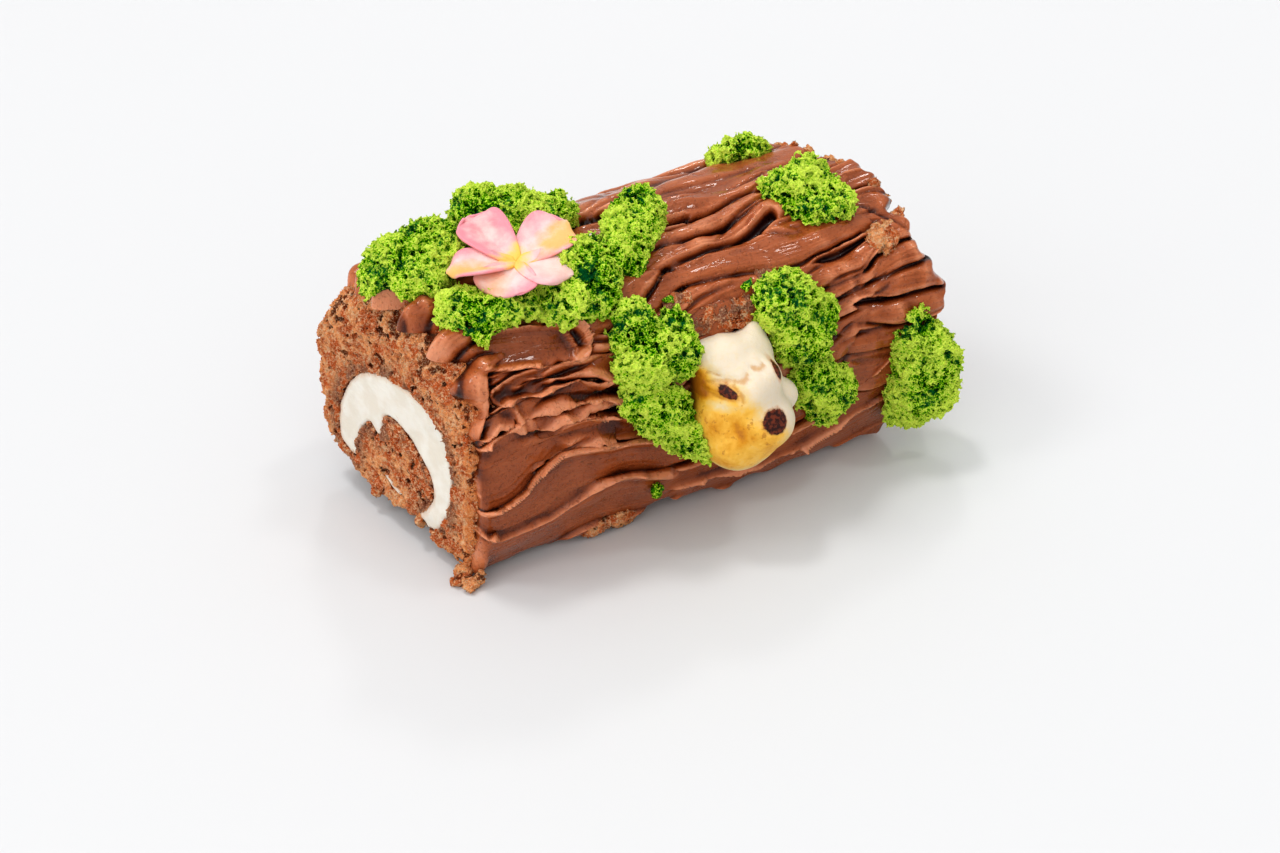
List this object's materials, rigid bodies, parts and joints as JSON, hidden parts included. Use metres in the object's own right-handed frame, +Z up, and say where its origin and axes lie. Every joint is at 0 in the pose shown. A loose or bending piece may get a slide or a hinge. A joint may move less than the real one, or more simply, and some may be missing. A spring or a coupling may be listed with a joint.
{
  "type": "yule log cake",
  "caption": "Rolled chocolate log cake under bark-like frosting, a cream spiral showing at the cut, dressed with green moss sponge, a meringue bear's head and a sugar flower.",
  "frame": {"origin": "on the flat underside, below the middle of the log", "axes": "+X along the log from the shown cut to the far end, +Y away from the side with the bear, +Z up"},
  "size_m": [0.1775, 0.1101, 0.0949],
  "materials": {
    "chocolate_sponge": "open brown crumb, matte, lighter and more orange where torn",
    "vanilla_cream": "smooth ivory whipped cream, soft sheen",
    "chocolate_frosting": "milk chocolate frosting pulled with a palette knife, soft gloss",
    "toasted_meringue": "ivory meringue toasted golden, with painted eyes and nose",
    "sugar_petal": "thin sugar paste, pink edges and yellow throat, satin",
    "moss_sponge": "torn airy green sponge, matte, deep green in its pits"
  },
  "bodies": {
    "root": {"sponge_roll": "chocolate_sponge", "cream_filling": "vanilla_cream", "cream_core": "vanilla_cream", "chocolate_frosting": "chocolate_frosting", "bear_head": "toasted_meringue", "sugar_flower": "sugar_petal", "moss_01": "moss_sponge", "moss_02": "moss_sponge", "moss_03": "moss_sponge", "moss_04": "moss_sponge", "moss_05": "moss_sponge", "moss_06": "moss_sponge", "moss_07": "moss_sponge", "moss_08": "moss_sponge", "moss_09": "moss_sponge", "moss_10": "moss_sponge", "moss_11": "moss_sponge", "moss_12": "moss_sponge"}
  },
  "joints": []
}
